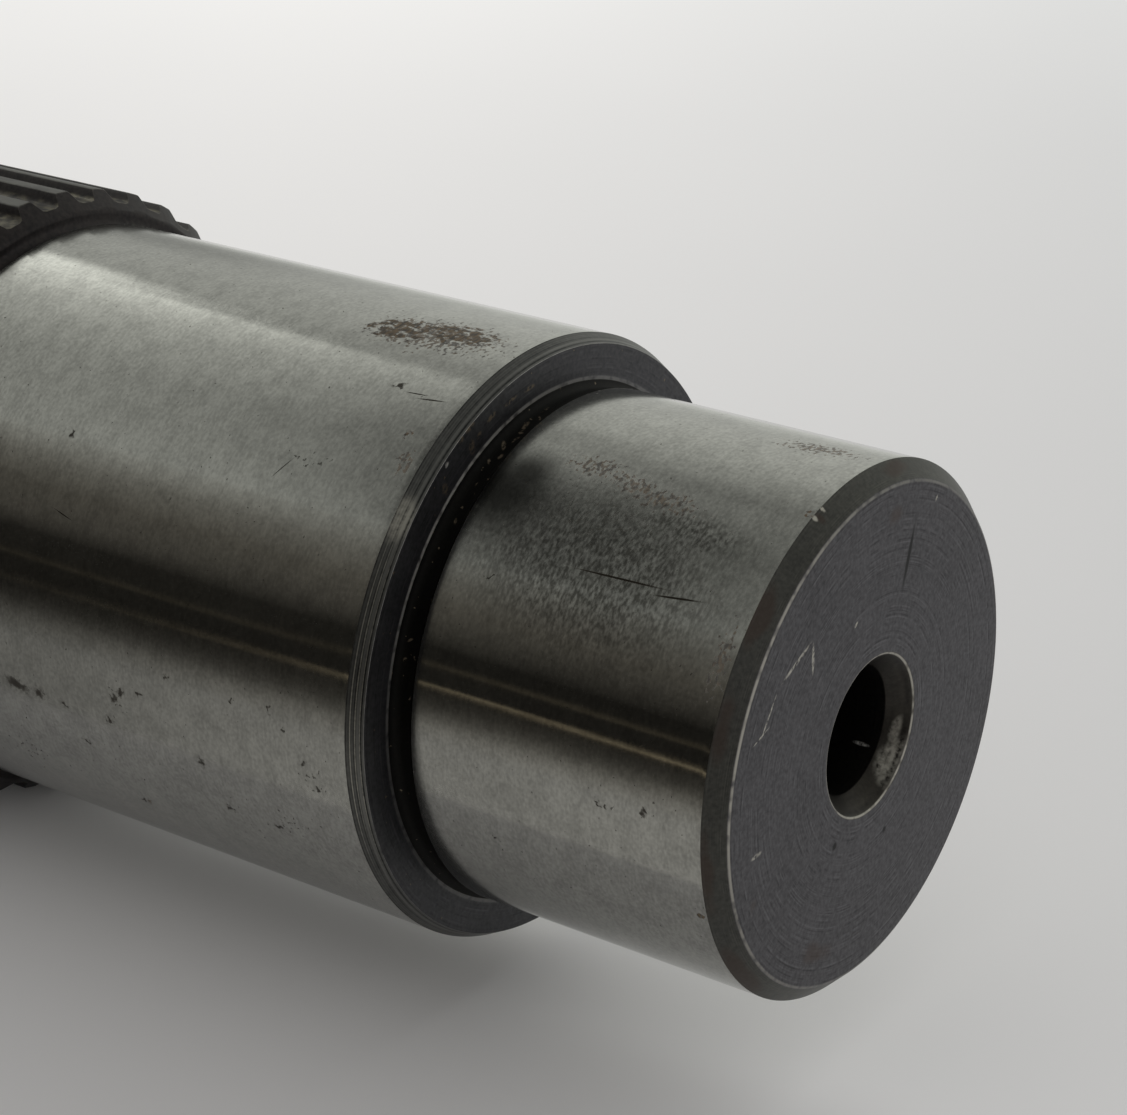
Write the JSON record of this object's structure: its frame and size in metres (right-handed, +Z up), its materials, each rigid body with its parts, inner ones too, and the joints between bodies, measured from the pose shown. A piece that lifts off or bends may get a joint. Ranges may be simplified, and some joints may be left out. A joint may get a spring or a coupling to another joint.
{
  "type": "power take-off shaft",
  "caption": "One-piece steel transmission shaft with a drilled, ground end journal, a larger ground bearing seat and a straight involute spline that carries torque.",
  "frame": {"origin": "on the shaft's axis, in the middle of the ground bearing seat", "axes": "+X along the axis towards the drilled end face, +Z up as the shaft lies at rest on two neighbouring spline teeth"},
  "size_m": [0.174, 0.0498, 0.0496],
  "materials": {
    "ground_steel": "ground steel with fine rings round the axis, light rust freckles and handling marks, with dark heat-treated faces, grooves and spline"
  },
  "bodies": {
    "root": {"splined_shaft": "ground_steel"}
  },
  "joints": []
}
